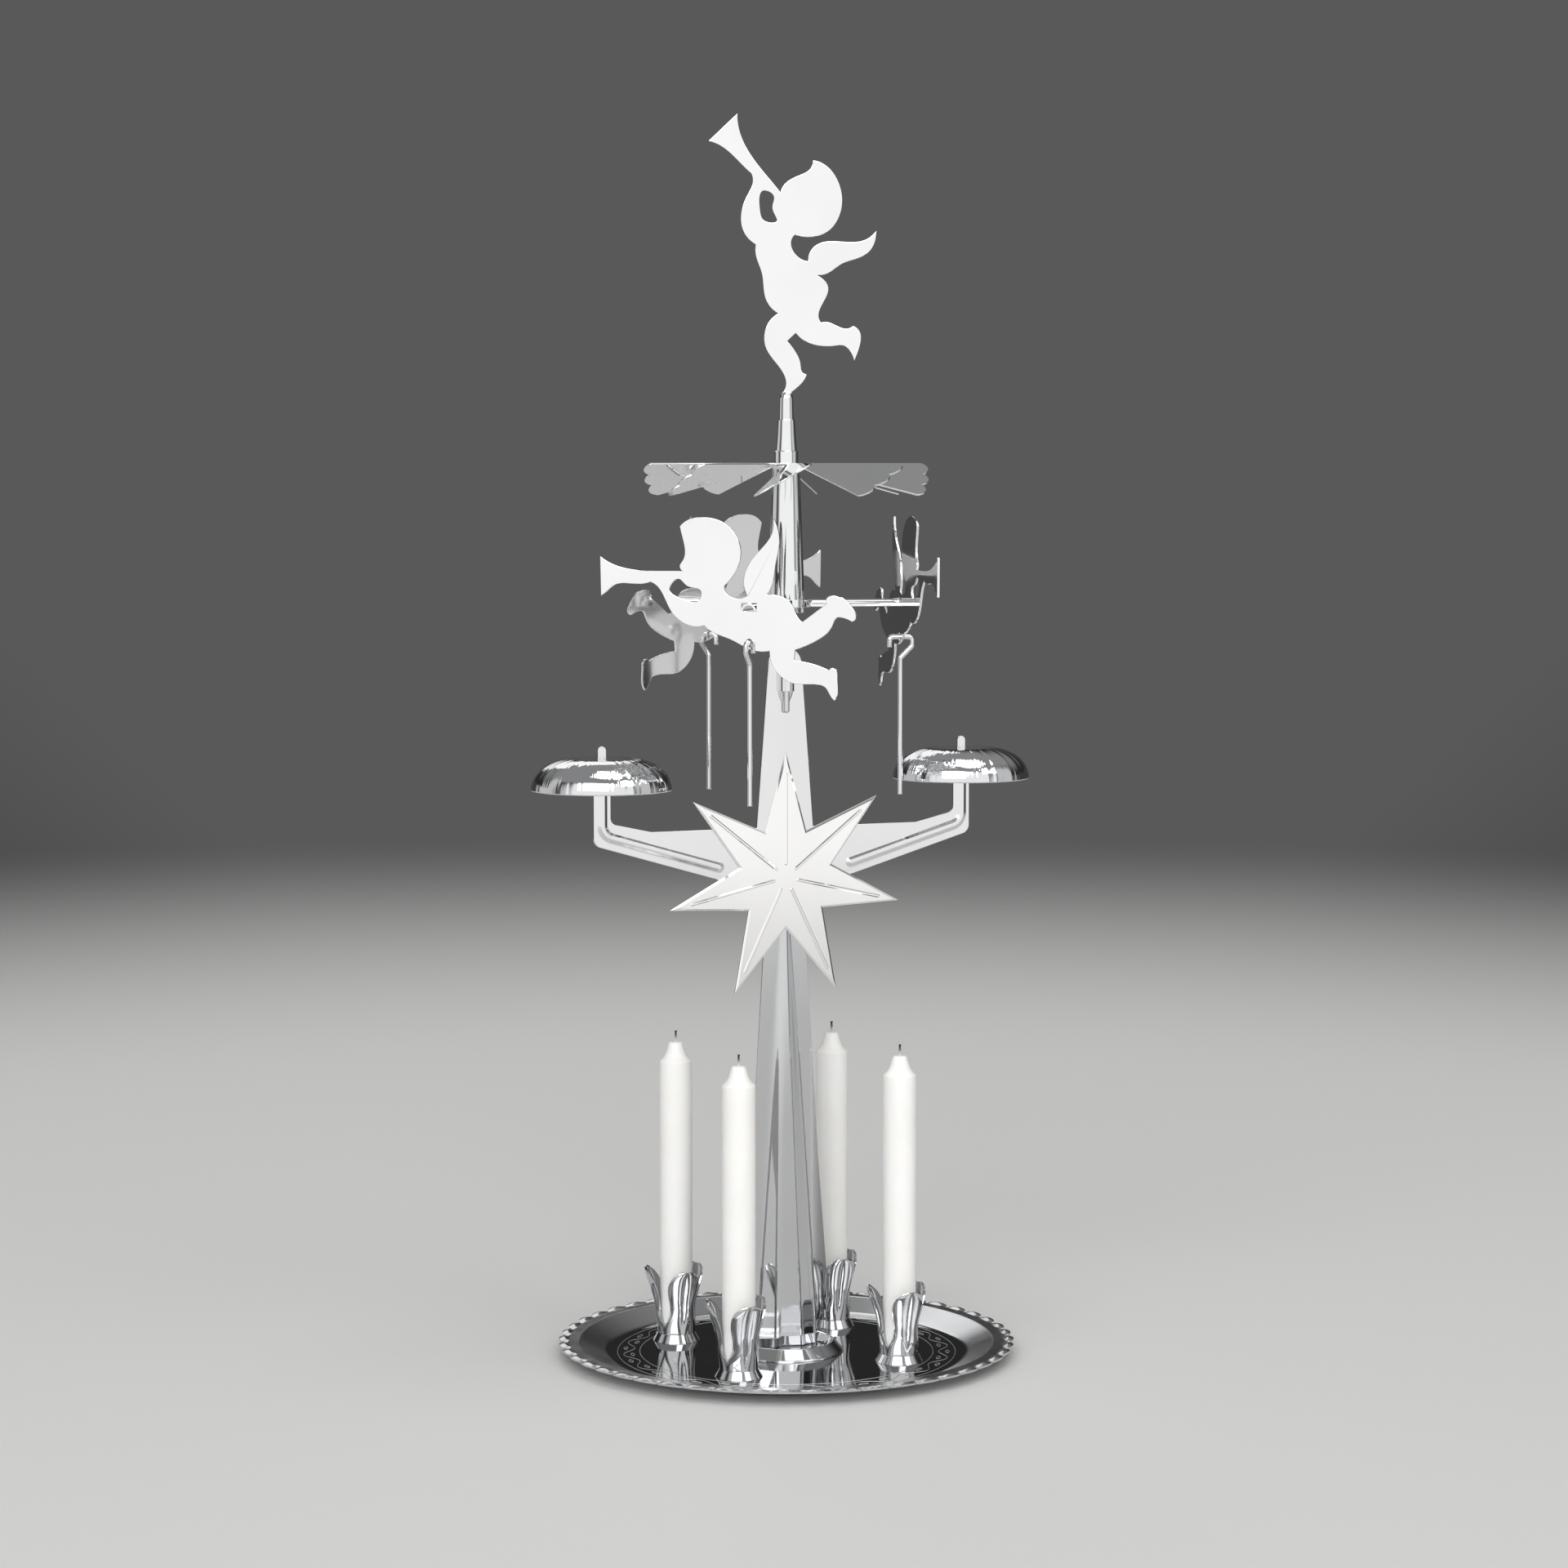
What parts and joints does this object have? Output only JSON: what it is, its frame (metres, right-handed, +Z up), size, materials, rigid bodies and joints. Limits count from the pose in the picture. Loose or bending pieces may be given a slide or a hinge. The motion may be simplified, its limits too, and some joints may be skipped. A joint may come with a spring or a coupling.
{
  "type": "angel chime carousel",
  "caption": "Table carousel of polished sheet metal: warm air from candles turns a fan wheel with flying angels, whose hanging strikers ring the bells.",
  "frame": {"origin": "centre of the tray's underside, on the table", "axes": "+X along the right bell arm, -Y towards the face of the star, +Z up along the needle"},
  "size_m": [0.1408, 0.1226, 0.3305],
  "materials": {
    "stand_sheet": "mirror polished plated sheet",
    "rotor_sheet": "mirror polished plated sheet",
    "bell_metal": "mirror polished, deep drawn",
    "needle_steel": "drawn and ground",
    "bearing_brass": "turned",
    "rivet_metal": "headed",
    "striker_wire": "bright drawn wire",
    "candle_wax": "smooth white wax",
    "wick_cotton": "braided cotton, burnt tip"
  },
  "bodies": {
    "stand": {"tray": "stand_sheet", "stem_collar": "stand_sheet", "stem": "stand_sheet", "bell_bracket": "stand_sheet", "star": "stand_sheet", "star_studs": "rivet_metal", "needle": "needle_steel", "candle_cup_1": "stand_sheet", "candle_cup_2": "stand_sheet", "candle_cup_3": "stand_sheet", "candle_cup_4": "stand_sheet", "cup_rivets": "rivet_metal"},
    "rotor": {"hub_tube": "rotor_sheet", "pivot_cup": "bearing_brass", "fan_wheel": "rotor_sheet", "top_holder": "rotor_sheet", "arm_spider": "rotor_sheet", "angel_1": "rotor_sheet", "angel_2": "rotor_sheet", "angel_3": "rotor_sheet", "top_angel": "rotor_sheet"},
    "striker_1": {"striker_1": "striker_wire"},
    "striker_2": {"striker_2": "striker_wire"},
    "striker_3": {"striker_3": "striker_wire"},
    "bell_left": {"bell_left": "bell_metal"},
    "bell_right": {"bell_right": "bell_metal"},
    "candle_1": {"candle_1": "candle_wax", "wick_1": "wick_cotton"},
    "candle_2": {"candle_2": "candle_wax", "wick_2": "wick_cotton"},
    "candle_3": {"candle_3": "candle_wax", "wick_3": "wick_cotton"},
    "candle_4": {"candle_4": "candle_wax", "wick_4": "wick_cotton"}
  },
  "joints": [
    {"name": "rotor_spin", "type": "hinge", "parent": "stand", "child": "rotor", "pos_m": [0, 0, 0.2483], "axis": [0, 0, 1], "continuous": true},
    {"name": "striker_1_swing", "type": "hinge", "parent": "rotor", "child": "striker_1", "pos_m": [0.03071, -0.00549, 0.19273], "axis": [-0.1805, -0.9836, 0], "range_deg": [-25, 2.5]},
    {"name": "striker_2_swing", "type": "hinge", "parent": "rotor", "child": "striker_2", "pos_m": [-0.0106, 0.02934, 0.19273], "axis": [0.9421, 0.3355, 0], "range_deg": [-25, 2.5]},
    {"name": "striker_3_swing", "type": "hinge", "parent": "rotor", "child": "striker_3", "pos_m": [-0.02012, -0.02385, 0.19273], "axis": [-0.7615, 0.6481, 0], "range_deg": [-25, 2.5]},
    {"name": "bell_left_spin", "type": "hinge", "parent": "stand", "child": "bell_left", "pos_m": [-0.0518, 0.00122, 0.162], "axis": [0, 0, 1], "continuous": true},
    {"name": "bell_right_spin", "type": "hinge", "parent": "stand", "child": "bell_right", "pos_m": [0.0518, 0.00122, 0.162], "axis": [0, 0, 1], "continuous": true},
    {"name": "candle_1_lift", "type": "slide", "parent": "stand", "child": "candle_1", "axis": [0, 0, 1], "range_m": [0, 0.025]},
    {"name": "candle_2_lift", "type": "slide", "parent": "stand", "child": "candle_2", "axis": [0, 0, 1], "range_m": [0, 0.025]},
    {"name": "candle_3_lift", "type": "slide", "parent": "stand", "child": "candle_3", "axis": [0, 0, 1], "range_m": [0, 0.025]},
    {"name": "candle_4_lift", "type": "slide", "parent": "stand", "child": "candle_4", "axis": [0, 0, 1], "range_m": [0, 0.025]}
  ]
}
